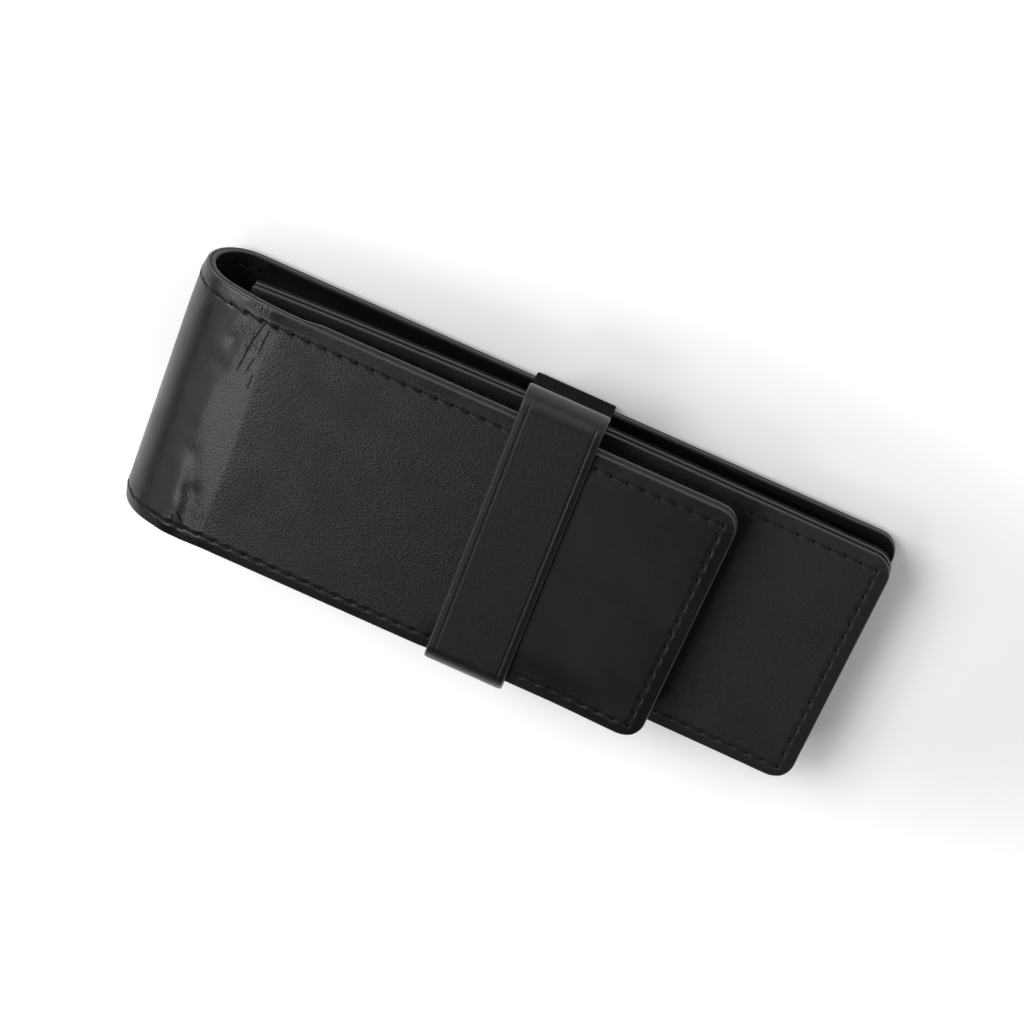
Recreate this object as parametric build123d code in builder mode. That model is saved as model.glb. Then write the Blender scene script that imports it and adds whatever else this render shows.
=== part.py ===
# Leather pen case: a stiff back that runs round a U-shaped fold into a long flap, a gusseted
# pocket for two or three pens, and a loose leather band that holds the flap down.
# +X runs along the case from the fold to the closed bottom end, +Y across it, +Z up.
# The origin is the centre of the case's footprint, on the surface that it lies on.
import os
from math import cos, radians, sin

from build123d import *

os.makedirs("parts", exist_ok=True)

# Driving sizes, in millimetres and degrees
case_length = 165.0
case_width = 62.5
corner_radius = 5.0
edge_round = 0.4
outer_leather = 1.2
lining_leather = 1.2
gusset_leather = 0.9
glue_gap = 0.03

# Fold: a tight bend over the pens' ends, then a long easy one that levels the flap
case_height = 24.8
fold_turn = 163.0
fold_segments = 4
ramp_radius = 60.9

# Flap
flap_reach = 130.0
flap_core = 1.2
core_inset = 0.4
core_skive = 6.0

# Pocket: its front sags between the open mouth and the sewn bottom end
mouth_setback = 12.5
pocket_core = 0.9
mouth_opening = 11.2
waist_opening = 6.8
bottom_opening = 7.7
waist_place = 20.0
gusset_depth = 9.0
gusset_stations = 9

# Band
band_leather = 1.2
band_width = 19.0
band_place = 4.5
band_skew = 1.9
band_play = 0.3
band_under_play = 0.2
band_bottom_reach = 1.15
band_rim_reach = 5.6
band_shoulder_reach = 1.9
band_rim_drop = 7.0
band_shoulder_round = 4.4
band_rim_round = 1.8

# Sizes worked out from the driving ones
half_width = case_width / 2
fold_end = -case_length / 2
bottom_end = case_length / 2
strip_thickness = outer_leather + lining_leather
back_under = band_leather + band_under_play
back_top = back_under + strip_thickness
ramp_turn = 180 - fold_turn
ramp_rise = ramp_radius * (1 - cos(radians(ramp_turn)))
fold_rise = case_height - back_under - ramp_rise
fold_radius = fold_rise / (1 - cos(radians(fold_turn)))
fold_x = fold_end + fold_radius
fold_z = back_under + fold_radius
ramp_x = fold_x + (ramp_radius - fold_radius) * sin(radians(fold_turn))
ramp_z = case_height - ramp_radius
flap_end = fold_end + flap_reach
mouth_x = fold_end + mouth_setback


def pocket_ceiling(x):
    """Height of the pocket front's inner face: two parabolas that meet at its lowest place."""
    end_x, end_opening = (mouth_x, mouth_opening) if x < waist_place else (bottom_end, bottom_opening)
    share = (x - waist_place) / (end_x - waist_place)
    return back_top + waist_opening + (end_opening - waist_opening) * share**2


def sag_curves(lift):
    """The pocket front's sag at a height above its inner face, from the mouth to the bottom end."""
    low = pocket_ceiling(waist_place) + lift
    mouth_high = pocket_ceiling(mouth_x) + lift
    bottom_high = pocket_ceiling(bottom_end) + lift
    Bezier((mouth_x, mouth_high), ((mouth_x + waist_place) / 2, low), (waist_place, low))
    Bezier((waist_place, low), ((waist_place + bottom_end) / 2, low), (bottom_end, bottom_high))


def plan_outline(start_x, end_x, width, radius):
    """A panel's outline seen from above, square at its start and rounded at its end."""
    with Locations(((start_x + end_x) / 2, 0)):
        Rectangle(end_x - start_x, width)
    fillet(vertices().group_by(Axis.X)[-1], radius=radius)


def bend_profile(centre, outer, thickness, start_turn, end_turn):
    """A slice of a bend, from a turn of zero under the fold to one of 180 degrees on the flap."""
    swing = start_turn - end_turn
    outside = CenterArc(centre, outer, 270 - start_turn, swing)
    inside = CenterArc(centre, outer - thickness, 270 - start_turn, swing)
    Line(outside @ 0, inside @ 0)
    Line(outside @ 1, inside @ 1)


# Back panel, which is the first part of the strip that goes on round the fold
with BuildPart() as back_leather:
    with BuildSketch(Plane.XY.offset(back_under)):
        plan_outline(fold_x, bottom_end, case_width, corner_radius)
    extrude(amount=outer_leather)
    underside_edges = back_leather.faces().sort_by(Axis.Z)[0].edges()
    fillet(underside_edges.sort_by(Axis.X)[1:], radius=edge_round)
back_leather.part.label = "back_leather"
export_step(back_leather.part, "parts/back_leather.step")

with BuildPart() as back_lining:
    with BuildSketch(Plane.XY.offset(back_under + outer_leather)):
        plan_outline(fold_x, bottom_end, case_width, corner_radius)
    extrude(amount=lining_leather)
back_lining.part.label = "back_lining"
export_step(back_lining.part, "parts/back_lining.step")


# Fold: slices of the bend, hinged to each other along lines on the outer leather
segment_turn = fold_turn / fold_segments
bends = [
    ((fold_x, fold_z), fold_radius, segment_turn * number, segment_turn * (number + 1))
    for number in range(fold_segments)
]
bends.append(((ramp_x, ramp_z), ramp_radius, fold_turn, 180))

for number, (centre, radius, start_turn, end_turn) in enumerate(bends, start=1):
    with BuildPart() as fold_leather:
        with BuildSketch(Plane.XZ):
            with BuildLine():
                bend_profile(centre, radius, outer_leather, start_turn, end_turn)
            make_face()
        extrude(amount=half_width, both=True)
    fold_leather.part.label = f"fold_leather_{number}"
    export_step(fold_leather.part, f"parts/fold_leather_{number}.step")

    with BuildPart() as fold_lining:
        with BuildSketch(Plane.XZ):
            with BuildLine():
                bend_profile(centre, radius - outer_leather, lining_leather, start_turn, end_turn)
            make_face()
        extrude(amount=half_width, both=True)
    fold_lining.part.label = f"fold_lining_{number}"
    export_step(fold_lining.part, f"parts/fold_lining_{number}.step")


# Flap: a stiff core between the two leathers, pared to nothing where the fold begins
with BuildPart() as flap_leather:
    with BuildSketch(Plane.XY.offset(case_height - outer_leather)):
        plan_outline(ramp_x, flap_end, case_width, corner_radius)
    extrude(amount=outer_leather)
    top_edges = flap_leather.faces().sort_by(Axis.Z)[-1].edges()
    fillet(top_edges.sort_by(Axis.X)[1:], radius=edge_round)
flap_leather.part.label = "flap_leather"
export_step(flap_leather.part, "parts/flap_leather.step")

core_top = case_height - outer_leather
core_under = core_top - flap_core
with BuildPart() as flap_core_board:
    with BuildSketch(Plane.XZ):
        Polygon(
            (ramp_x, core_top),
            (ramp_x + core_skive, core_under),
            (flap_end - core_inset, core_under),
            (flap_end - core_inset, core_top),
            align=None,
        )
    extrude(amount=half_width, both=True)
    with BuildSketch(Plane.XY):
        plan_outline(
            ramp_x, flap_end - core_inset, case_width - 2 * core_inset, corner_radius - core_inset
        )
    extrude(amount=case_height, mode=Mode.INTERSECT)
flap_core_board.part.label = "flap_core"
export_step(flap_core_board.part, "parts/flap_core.step")

with BuildPart() as flap_lining:
    with BuildSketch(Plane.XZ):
        Polygon(
            (ramp_x, core_top),
            (ramp_x + core_skive, core_under),
            (flap_end, core_under),
            (flap_end, core_under - lining_leather),
            (ramp_x + core_skive, core_under - lining_leather),
            (ramp_x, core_top - lining_leather),
            align=None,
        )
    extrude(amount=half_width, both=True)
    with BuildSketch(Plane.XY):
        plan_outline(ramp_x, flap_end, case_width, corner_radius)
    extrude(amount=case_height, mode=Mode.INTERSECT)
flap_lining.part.label = "flap_lining"
export_step(flap_lining.part, "parts/flap_lining.step")


# Pocket front: lining, core and outer leather, all with the same sag
pocket_layers = [
    ("pocket_lining", 0.0, lining_leather, 0.0),
    ("pocket_core", lining_leather, pocket_core, core_inset),
    ("pocket_leather", lining_leather + pocket_core, outer_leather, 0.0),
]
for name, lift, thickness, inset in pocket_layers:
    with BuildPart() as pocket_layer:
        with BuildSketch(Plane.XZ):
            with BuildLine() as layer_outline:
                sag_curves(lift)
                sag_curves(lift + thickness)
                for end_x in (mouth_x, bottom_end):
                    end_under = pocket_ceiling(end_x) + lift
                    Line((end_x, end_under), (end_x, end_under + thickness))
            make_face()
        extrude(amount=half_width, both=True)
        with BuildSketch(Plane.XY):
            plan_outline(
                mouth_x + inset, bottom_end - inset, case_width - 2 * inset, corner_radius - inset
            )
        extrude(amount=case_height, mode=Mode.INTERSECT)
    pocket_layer.part.label = name
    export_step(pocket_layer.part, f"parts/{name}.step")


# Gussets: strips folded inwards in a V between the back and the pocket front
def gusset_section(ceiling, edge, inwards):
    """The V across a gusset, open at the panels' edge and pointing into the pocket."""
    floor = back_top + glue_gap
    roof = ceiling - glue_gap
    middle = (floor + roof) / 2
    Polygon(
        (edge, floor),
        (edge, floor + gusset_leather),
        (edge + inwards * gusset_depth, middle),
        (edge, roof - gusset_leather),
        (edge, roof),
        (edge + inwards * (gusset_depth + gusset_leather), middle),
        align=None,
    )


def mitre_outline(side):
    """The plan area of one long side's gusset, cut at 45 degrees where the end gusset starts."""
    deep = 2 * gusset_depth
    edge = side * half_width
    Polygon(
        (mouth_x, edge),
        (bottom_end - glue_gap, edge),
        (bottom_end - glue_gap - deep, edge - side * deep),
        (mouth_x, edge - side * deep),
        align=None,
    )


station_step = (bottom_end - mouth_x) / (gusset_stations - 1)
for name, side in (("gusset_left", 1), ("gusset_right", -1)):
    with BuildPart() as side_gusset:
        for station in range(gusset_stations):
            station_x = mouth_x + station * station_step
            with BuildSketch(Plane.YZ.offset(station_x)):
                gusset_section(pocket_ceiling(station_x), side * half_width, -side)
        loft()
        with BuildSketch(Plane.XY):
            mitre_outline(side)
        extrude(amount=case_height, mode=Mode.INTERSECT)
        with BuildSketch(Plane.XY):
            plan_outline(mouth_x, bottom_end, case_width, corner_radius)
        extrude(amount=case_height, mode=Mode.INTERSECT)
    side_gusset.part.label = name
    export_step(side_gusset.part, f"parts/{name}.step")

with BuildPart() as end_gusset:
    with BuildSketch(Plane.XZ):
        gusset_section(pocket_ceiling(bottom_end), bottom_end, -1)
    extrude(amount=half_width, both=True)
    with BuildSketch(Plane.XY):
        Polygon(
            (bottom_end, half_width - glue_gap),
            (bottom_end, glue_gap - half_width),
            (bottom_end - 2 * gusset_depth, glue_gap - half_width + 2 * gusset_depth),
            (bottom_end - 2 * gusset_depth, half_width - glue_gap - 2 * gusset_depth),
            align=None,
        )
    extrude(amount=case_height, mode=Mode.INTERSECT)
    with BuildSketch(Plane.XY):
        plan_outline(mouth_x, bottom_end, case_width, corner_radius)
    extrude(amount=case_height, mode=Mode.INTERSECT)
end_gusset.part.label = "gusset_end"
export_step(end_gusset.part, "parts/gusset_end.step")


# Band: a loose loop that bulges beside the flap and runs in under the case
band_top = case_height + band_play + band_leather
band_bottom_half = half_width + band_bottom_reach
band_rim_half = half_width + band_rim_reach
band_shoulder_half = half_width + band_shoulder_reach
band_rim_height = band_top - band_rim_drop
with BuildPart() as band:
    with BuildSketch(Plane.YZ):
        Polygon(
            (-band_bottom_half, 0),
            (band_bottom_half, 0),
            (band_rim_half, band_rim_height),
            (band_shoulder_half, band_top),
            (-band_shoulder_half, band_top),
            (-band_rim_half, band_rim_height),
            align=None,
        )
        fillet(vertices().group_by(Axis.Y)[-1], radius=band_shoulder_round)
        bottom_corners, rim_corners = vertices().group_by(Axis.Y)[:2]
        fillet(bottom_corners + rim_corners, radius=band_rim_round)
        offset(amount=-band_leather, mode=Mode.SUBTRACT)
    extrude(amount=band_width, both=True)
    with Locations(Location((band_place, 0, band_top / 2), (0, 0, band_skew))):
        Box(band_width, 3 * band_rim_half, 2 * band_top, mode=Mode.INTERSECT)
band.part.label = "band"
export_step(band.part, "parts/band.step")
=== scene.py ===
"""Looks of a black leather pen case: one long strip that is its back, its fold and its flap, a
gusseted pocket, a loose band round it, and sewn rows along the edges. Lengths are in metres."""
from math import atan2, cos, exp, hypot, pi, radians, sin, tan

import bmesh
import bpy
from mathutils import Matrix, Vector


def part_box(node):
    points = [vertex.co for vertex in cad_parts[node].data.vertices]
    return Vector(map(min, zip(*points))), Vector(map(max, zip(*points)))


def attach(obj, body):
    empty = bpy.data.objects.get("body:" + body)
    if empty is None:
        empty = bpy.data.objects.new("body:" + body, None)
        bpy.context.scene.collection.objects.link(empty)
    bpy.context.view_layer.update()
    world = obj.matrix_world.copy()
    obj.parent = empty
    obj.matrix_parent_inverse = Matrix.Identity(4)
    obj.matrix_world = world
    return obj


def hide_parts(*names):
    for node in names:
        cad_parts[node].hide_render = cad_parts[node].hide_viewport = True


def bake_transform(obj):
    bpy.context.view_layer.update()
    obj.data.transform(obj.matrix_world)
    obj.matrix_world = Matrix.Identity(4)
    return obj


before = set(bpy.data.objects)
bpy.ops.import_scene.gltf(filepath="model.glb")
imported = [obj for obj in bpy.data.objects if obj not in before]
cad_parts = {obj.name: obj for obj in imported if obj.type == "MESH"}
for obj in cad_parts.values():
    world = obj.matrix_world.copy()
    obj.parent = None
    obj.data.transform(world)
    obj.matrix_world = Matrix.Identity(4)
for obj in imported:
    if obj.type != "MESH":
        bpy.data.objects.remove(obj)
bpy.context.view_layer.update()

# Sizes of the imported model, read from its nodes or repeated from the part's source
MM = 0.001
back_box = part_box("back_leather")
flap_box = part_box("flap_leather")
front_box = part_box("pocket_leather")
HALF_WIDTH = back_box[1].y
BOTTOM_END = back_box[1].x
BACK_UNDER = back_box[0].z
FOLD_X = back_box[0].x
FLAP_TOP = flap_box[1].z
FLAP_END = flap_box[1].x
RAMP_X = flap_box[0].x
MOUTH_X = front_box[0].x
CORNER = 5 * MM
LEATHER = 1.2 * MM
FOLD_TURN = radians(163)
FOLD_STEPS = 72
SLICE_TURN = FOLD_TURN / 4
RAMP_TURN = pi - FOLD_TURN
RAMP_STEPS = 32
FOLD_RADIUS = FOLD_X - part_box("fold_leather_3")[0].x
FOLD_Z = BACK_UNDER + FOLD_RADIUS
RAMP_RADIUS = 60.9 * MM
RAMP_Z = FLAP_TOP - RAMP_RADIUS
RAMP_MIDDLE = FOLD_TURN + RAMP_TURN / 2
BOARD = 1.2 * MM
BOARD_SKIVE = 6 * MM
BACK_TOP = BACK_UNDER + 2 * LEATHER
FRONT_BOARD = 0.9 * MM
FRONT_THICK = 2 * LEATHER + FRONT_BOARD
WAIST_X = 20 * MM
MOUTH_OPENING = 11.2 * MM
WAIST_OPENING = 6.8 * MM
BOTTOM_OPENING = 7.7 * MM
GUSSET = 0.9 * MM
GLUE = 0.03 * MM
BAND_X = 4.5 * MM
BAND_WIDTH = 19 * MM
BAND_LEATHER = 1.05 * MM
BAND_SKEW = radians(1.9)
BAND_MARGIN = 2 * MM
BAND_FALL = 0.3 * MM
ROUNDED = 0.42 * MM

# Sewing
ROW_INSET = 3.3 * MM
PITCH = 3.75 * MM
ROW_SIDE = HALF_WIDTH - ROW_INSET
MARGIN = 2.9 * MM
MARGIN_FALL = 0.38 * MM
PAST_MOUTH = 2 * MOUTH_X  # no margin is drawn down at the pocket's mouth
STITCH_SHARE = 0.96
STITCH_SLANT = 0.09
THREAD_RADIUS = 0.2 * MM

# Distance along the strip, measured on its outer leather from where the fold begins
RAMP_START = FOLD_RADIUS * FOLD_TURN
FLAP_START = RAMP_START + RAMP_RADIUS * RAMP_TURN
STRIP_END = FLAP_START + FLAP_END - RAMP_X
STRIP_START = FOLD_X - BOTTOM_END


# Modelling, as done by hand
def take(piece):
    """Leaves only this piece selected, and active."""
    bpy.ops.object.select_all(action="DESELECT")
    piece.select_set(True)
    bpy.context.view_layer.objects.active = piece


def edit(piece):
    take(piece)
    bpy.ops.object.mode_set(mode="EDIT")


def done():
    bpy.ops.object.mode_set(mode="OBJECT")


def choose_all():
    bpy.ops.mesh.select_all(action="SELECT")


def face_outwards():
    choose_all()
    bpy.ops.mesh.normals_make_consistent(inside=False)


def smooth(piece):
    take(piece)
    bpy.ops.object.shade_smooth()
    apply(piece, "WEIGHTED_NORMAL", keep_sharp=False, weight=60)


def choose(piece, kind, wanted):
    """In edit mode, selects the vertices or faces whose middle is wanted."""
    bpy.ops.mesh.select_mode(type=kind)
    bpy.ops.mesh.select_all(action="DESELECT")
    form = bmesh.from_edit_mesh(piece.data)
    if kind == "VERT":
        chosen = [point for point in form.verts if wanted(point.co)]
    else:
        chosen = [face for face in form.faces if wanted(face.calc_center_median())]
    for item in chosen:
        item.select_set(True)
    form.select_flush_mode()
    bmesh.update_edit_mesh(piece.data)


def start_sheet(name, low, high, cells, across=1):
    """Lays a flat grid from its low to its high corner and leaves it in edit mode."""
    bpy.ops.mesh.primitive_grid_add(x_subdivisions=across, y_subdivisions=cells, size=1)
    piece = bpy.context.object
    piece.name = name
    low, high = Vector(low), Vector(high)
    edit(piece)
    size = high - low
    bpy.ops.transform.resize(value=(size.x, size.y, 1))
    bpy.ops.transform.translate(value=(low + high) / 2)
    return piece


def pull(offset, count=1):
    """Extrudes the selected edge row by an offset, in equal steps."""
    for _ in range(count):
        bpy.ops.mesh.extrude_region_move(TRANSFORM_OT_translate={"value": Vector(offset) / count})


def turn(centre, angle, axis, steps):
    """Extrudes the selected edge row round an axis."""
    bpy.ops.mesh.spin(steps=steps, angle=angle, center=centre, axis=axis)


def apply(piece, kind, **settings):
    """Adds a modifier and applies it."""
    take(piece)
    modifier = piece.modifiers.new(kind.lower(), kind)
    for name, value in settings.items():
        setattr(modifier, name, value)
    bpy.ops.object.modifier_apply(modifier=modifier.name)


def shape(piece, move):
    """Moves each vertex to where move puts it, as with a sculpting brush."""
    for point in piece.data.vertices:
        point.co = move(point.co.copy())
    piece.data.update()


def face_up(piece, wanted):
    """Turns an open sheet over if its first face looks away from the wanted direction."""
    if piece.data.polygons[0].normal.dot(Vector(wanted)) < 0:
        edit(piece)
        choose_all()
        bpy.ops.mesh.flip_normals()
        done()


def give_thickness(piece, thickness, edge=0.3 * MM, segments=3):
    """Makes a leather of a sheet: thickness behind its face, and worn round edges."""
    apply(piece, "SOLIDIFY", thickness=thickness, offset=-1, use_even_offset=True)
    apply(
        piece, "BEVEL", width=edge, segments=segments, limit_method="ANGLE",
        angle_limit=radians(50), use_clamp_overlap=False, miter_outer="MITER_ARC",
    )
    smooth(piece)


def smoothstep(low, high, value):
    """A smooth change from 0 to 1 as the value goes from low to high, either way round."""
    share = max(0.0, min(1.0, (value - low) / (high - low)))
    return share * share * (3 - 2 * share)


def round_end(end_x):
    """A move that rounds the two corners of a panel's end, cell by cell."""
    def move(point):
        along = point.x - (end_x - CORNER)
        across = abs(point.y) - (HALF_WIDTH - CORNER)
        if along > 0 and across > 0:
            shrink = max(along, across) / hypot(along, across)
            point.x = end_x - (CORNER - along * shrink)
            side = 1 if point.y > 0 else -1
            point.y = side * (HALF_WIDTH - CORNER + across * shrink)
        return point
    return move


# The strip: back, fold and flap
def strip_sheet(name, depth, cells, drop):
    """The strip's surface at a depth below its outer face. On the flap it drops by the board."""
    low = BACK_UNDER + depth
    first = 1.25 * MM
    piece = start_sheet(
        name, (BOTTOM_END - first, -HALF_WIDTH, low), (BOTTOM_END, HALF_WIDTH, low), cells
    )
    edge_x = BOTTOM_END - first
    choose(piece, "VERT", lambda p: p.x < edge_x + 1e-6)
    pull((-CORNER, 0, 0), 4)
    pull((FOLD_X - edge_x + CORNER, 0, 0), 44)
    turn((FOLD_X, 0, FOLD_Z), FOLD_TURN, (0, -1, 0), FOLD_STEPS)
    turn((RAMP_X, 0, RAMP_Z), RAMP_TURN, (0, -1, 0), RAMP_STEPS)
    skive_steps = 8
    reached = 0.0
    for step in range(1, skive_steps + 1):
        wanted = drop * smoothstep(0, 1, step / skive_steps)
        pull((BOARD_SKIVE / skive_steps, 0, reached - wanted))
        reached = wanted
    pull((FLAP_END - RAMP_X - BOARD_SKIVE - CORNER, 0, 0), 56)
    pull((CORNER, 0, 0), 4)
    choose_all()
    bpy.ops.mesh.remove_doubles(threshold=1e-6)
    done()
    round_back, round_flap = round_end(BOTTOM_END), round_end(FLAP_END)
    shape(piece, lambda p: round_flap(p) if p.z > FOLD_Z else round_back(p))
    return piece


def turn_about(centre_x, centre_z, point):
    """How far round a centre a point lies, from straight under it and by way of -X."""
    angle = atan2(centre_x - point.x, centre_z - point.z)
    return angle + 2 * pi if angle < 0 else angle


def flat_place(point):
    """A point of the strip laid out flat: along it, across it, and above its outer face."""
    x, y, z = point
    if x > RAMP_X and z > FOLD_Z:
        return Vector((FLAP_START + x - RAMP_X, y, z - FLAP_TOP))
    if x > FOLD_X and z < FOLD_Z:
        return Vector((FOLD_X - x, y, BACK_UNDER - z))
    angle = turn_about(FOLD_X, FOLD_Z, point)
    if angle <= FOLD_TURN:
        return Vector((FOLD_RADIUS * angle, y, hypot(x - FOLD_X, z - FOLD_Z) - FOLD_RADIUS))
    angle = pi - atan2(RAMP_X - x, z - RAMP_Z)
    along = RAMP_START + RAMP_RADIUS * (angle - FOLD_TURN)
    return Vector((along, y, hypot(x - RAMP_X, z - RAMP_Z) - RAMP_RADIUS))


def strip_normal(along):
    """Which way the strip's outer face looks at a distance along it."""
    if along <= 0:
        angle = 0.0
    elif along <= RAMP_START:
        angle = along / FOLD_RADIUS
    else:
        angle = min(pi, FOLD_TURN + (along - RAMP_START) / RAMP_RADIUS)
    return Vector((-sin(angle), 0, -cos(angle)))


# Soft creases of the fold, in millimetres on the flat strip: two ends, depth, reach
CREASES = [
    (37.4, 28.0, 36.4, 20.5, -0.17, 1.7), (36.4, 20.5, 35.7, 13.0, -0.20, 1.8),
    (35.7, 13.0, 29.9, 6.3, -0.12, 2.4), (39.6, 27.0, 38.4, 20.0, 0.08, 1.6),
    (38.4, 20.0, 37.4, 12.0, 0.10, 1.8), (33.4, 26.0, 32.6, 18.0, 0.14, 2.6),
    (34.6, -4.0, 36.0, -9.6, -0.08, 2.4), (36.0, -9.6, 39.4, -18.4, -0.13, 2.2),
    (39.4, -18.4, 41.6, -28.5, -0.17, 2.0), (35.0, -13.4, 37.0, -22.7, 0.09, 2.2),
    (37.0, -22.7, 35.9, -28.4, 0.11, 2.0), (41.4, 27.2, 40.4, 20.0, -0.07, 1.0),
    (43.6, 26.0, 43.2, 18.0, -0.05, 1.0), (39.6, -27.4, 39.0, -32.6, -0.12, 1.0),
]

# Sharp cracks beside them, in millimetres on the flat strip: two ends
CRACKS = [
    (42.2, 28.6, 41.0, 23.2), (41.0, 23.2, 40.2, 17.3), (40.2, 17.3, 39.8, 14.4),
    (43.4, 26.4, 43.0, 20.4), (42.5, 18.9, 41.8, 14.8), (43.5, 15.0, 43.4, 11.2),
    (38.4, 33.4, 38.8, 30.6), (40.1, 33.4, 40.3, 30.4), (41.7, 33.3, 41.7, 30.5),
    (38.4, -24.4, 41.2, -27.4), (37.4, -25.4, 38.6, -29.6),
]


# The fold's upper slope, in millimetres on the flat strip: it is flattened up to a curved brink,
# where it breaks to the flap, and its lower part stands out a little
BRINK, BRINK_MIDDLE, BRINK_CURVE = 44.9, -12, 0.0016
FLATTENING, BRINK_BREAK, STANDS_OUT = 0.0082, 0.082, 0.46


def pressed(flat):
    """How far the outer face is pushed out or in at a place on the flat strip."""
    along, across = flat.x / MM, flat.y / MM
    brink = BRINK - BRINK_CURVE * (across - BRINK_MIDDLE) ** 2
    to_flap = max(0.0, FLAP_START / MM - along)
    flattened = FLATTENING * to_flap * to_flap - BRINK_BREAK * max(0.0, brink - along)
    on_slope = smoothstep(33.5, 37.5, along)
    height = flattened * on_slope + STANDS_OUT * smoothstep(20, 35, along) * (1 - on_slope)
    for ax, ay, bx, by, depth, reach in CREASES:
        span = (bx - ax) ** 2 + (by - ay) ** 2
        share = max(0.0, min(1.0, ((along - ax) * (bx - ax) + (across - ay) * (by - ay)) / span))
        gap = hypot(along - ax - share * (bx - ax), across - ay - share * (by - ay))
        height += depth * exp(-((gap / reach) ** 2))
    return height * MM


def drawn_down(along, across, first, last):
    """How far a sewn panel's outer face falls beside its edges."""
    inside = min(along - first, last - along, HALF_WIDTH - abs(across))
    return MARGIN_FALL * smoothstep(MARGIN, 0, inside)


def on_strip(along, across):
    """How far the strip's outer face stands out from its plain shape, or in."""
    lift = -drawn_down(along, across, STRIP_START, STRIP_END)
    if -2 * MM < along < FLAP_START + 40 * MM:
        lift += pressed(Vector((along, across, 0)))
    return lift


def press(point):
    """Presses the creases into the outer face and spares the glued one."""
    flat = flat_place(point)
    weight = smoothstep(-LEATHER, 0, flat.z)
    return point + strip_normal(flat.x) * on_strip(flat.x, flat.y) * weight


FOLD_DRAWN_IN = 1.15 * MM
FOLD_SPREAD = 0.5 * MM
FLAP_HELD = 0.9 * MM


def settle(point):
    """The strip's slow bends: its fold is flatter near its front end, and the band holds
    the flap's front edge down."""
    x, y, z = point
    front = max(0.0, min(1.0, (20 * MM - y) / (20 * MM + HALF_WIDTH)))
    low_side = smoothstep(0, -HALF_WIDTH, y)
    shift = FOLD_DRAWN_IN * front * smoothstep(-62 * MM, -78 * MM, x)
    spread = FOLD_SPREAD * low_side * smoothstep(-59 * MM, -67 * MM, x)
    held = smoothstep(-20 * MM, -33 * MM, y) * smoothstep(-8 * MM, 4 * MM, x)
    held *= smoothstep(46 * MM, 24 * MM, x) if z > FOLD_Z else 0.0
    return Vector((x + shift, y - spread, z - FLAP_HELD * held))


def part_of_strip(point):
    """Which of the eight parts of the strip a point is in, from the back to the flap."""
    if point.z < FOLD_Z and point.x > FOLD_X:
        return 0
    if point.z >= FOLD_Z and point.x > RAMP_X:
        return 7
    turned = turn_about(FOLD_X, FOLD_Z, point)
    nearest = round(turned / SLICE_TURN)
    if nearest < 4 and point.x < FOLD_X + 1e-6:
        return nearest + 1
    in_last_slice = SLICE_TURN * 3.5 < turned < FOLD_TURN
    late_on_ramp = RAMP_MIDDLE < turn_about(RAMP_X, RAMP_Z, point) < pi
    return 6 if point.z > FOLD_Z and late_on_ramp and not in_last_slice else 5


def arc_point(centre_x, centre_z, radius, angle):
    return (centre_x - radius * sin(angle), 0, centre_z - radius * cos(angle))


slice_middles = [
    arc_point(FOLD_X, FOLD_Z, FOLD_RADIUS, SLICE_TURN * (number + 0.5)) for number in range(4)
]
ramp_middle = arc_point(RAMP_X, RAMP_Z, RAMP_RADIUS, RAMP_MIDDLE)
past_fold = arc_point(RAMP_X, RAMP_Z, RAMP_RADIUS, FOLD_TURN + 5 * MM / RAMP_RADIUS)
fold_foot = (FOLD_X, 0, BACK_UNDER)
flap_foot = (RAMP_X, 0, FLAP_TOP)
bodies = ["case", *[f"fold_{number}" for number in range(1, 6)], "flap"]
bend_starts = [fold_foot, *slice_middles, ramp_middle]
bend_ends = [*slice_middles, past_fold, flap_foot]
BENDS = list(zip(bodies, bodies[1:], bend_starts, bend_ends))


def carry(piece, number):
    """Makes a part of the strip ride on its body, the case or the flap; a part between two bodies
    only has its place baked into its mesh.
    """
    if number == 0:
        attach(piece, "case")
    elif number == 7:
        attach(piece, "flap")
    else:
        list(BENDS[number - 1])
        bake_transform(piece)


def lay_flat(piece):
    """Keeps, for its material, where each vertex is on the flat strip."""
    layer = piece.data.attributes.new("flat", "FLOAT_VECTOR", "POINT")
    for item, point in zip(layer.data, piece.data.vertices):
        item.vector = flat_place(point.co)


def copy_of(piece):
    """A copy of a piece with its own mesh, put in the scene."""
    copy = piece.copy()
    copy.data = piece.data.copy()
    bpy.context.scene.collection.objects.link(copy)
    return copy


def cut_strip(whole, kind, material):
    """Cuts a finished strip into its eight parts and closes their cut ends."""
    names = [f"back_{kind}"] + [f"fold_{kind}_{n}" for n in range(1, 7)] + [f"flap_{kind}"]
    parts = []
    for number, name in enumerate(names):
        part = copy_of(whole)
        part.name = name
        edit(part)
        choose(part, "FACE", lambda p: part_of_strip(p) != number)
        bpy.ops.mesh.delete(type="FACE")
        choose_all()
        bpy.ops.mesh.fill_holes(sides=0)
        done()
        apply(
            part, "DATA_TRANSFER", object=whole, use_loop_data=True,
            data_types_loops={"CUSTOM_NORMAL"}, loop_mapping="NEAREST_NORMAL",
        )
        lay_flat(part)
        shape(part, settle)
        dress(part, material)
        carry(part, number)
        parts.append(part)
    bpy.data.objects.remove(whole)
    return parts


def dress(piece, material):
    piece.data.materials.clear()
    piece.data.materials.append(material)


# Materials: building blocks
def feed(tree, node, socket, value):
    """Gives a node's input a value or a link."""
    if isinstance(value, bpy.types.NodeSocket):
        tree.links.new(value, node.inputs[socket])
    else:
        node.inputs[socket].default_value = value


def put(tree, kind, values=None, **settings):
    """Adds a node, sets its options, and feeds its inputs."""
    node = tree.nodes.new("ShaderNode" + kind)
    for name, value in settings.items():
        setattr(node, name, value)
    for name, value in (values or {}).items():
        feed(tree, node, name, value)
    return node


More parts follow.
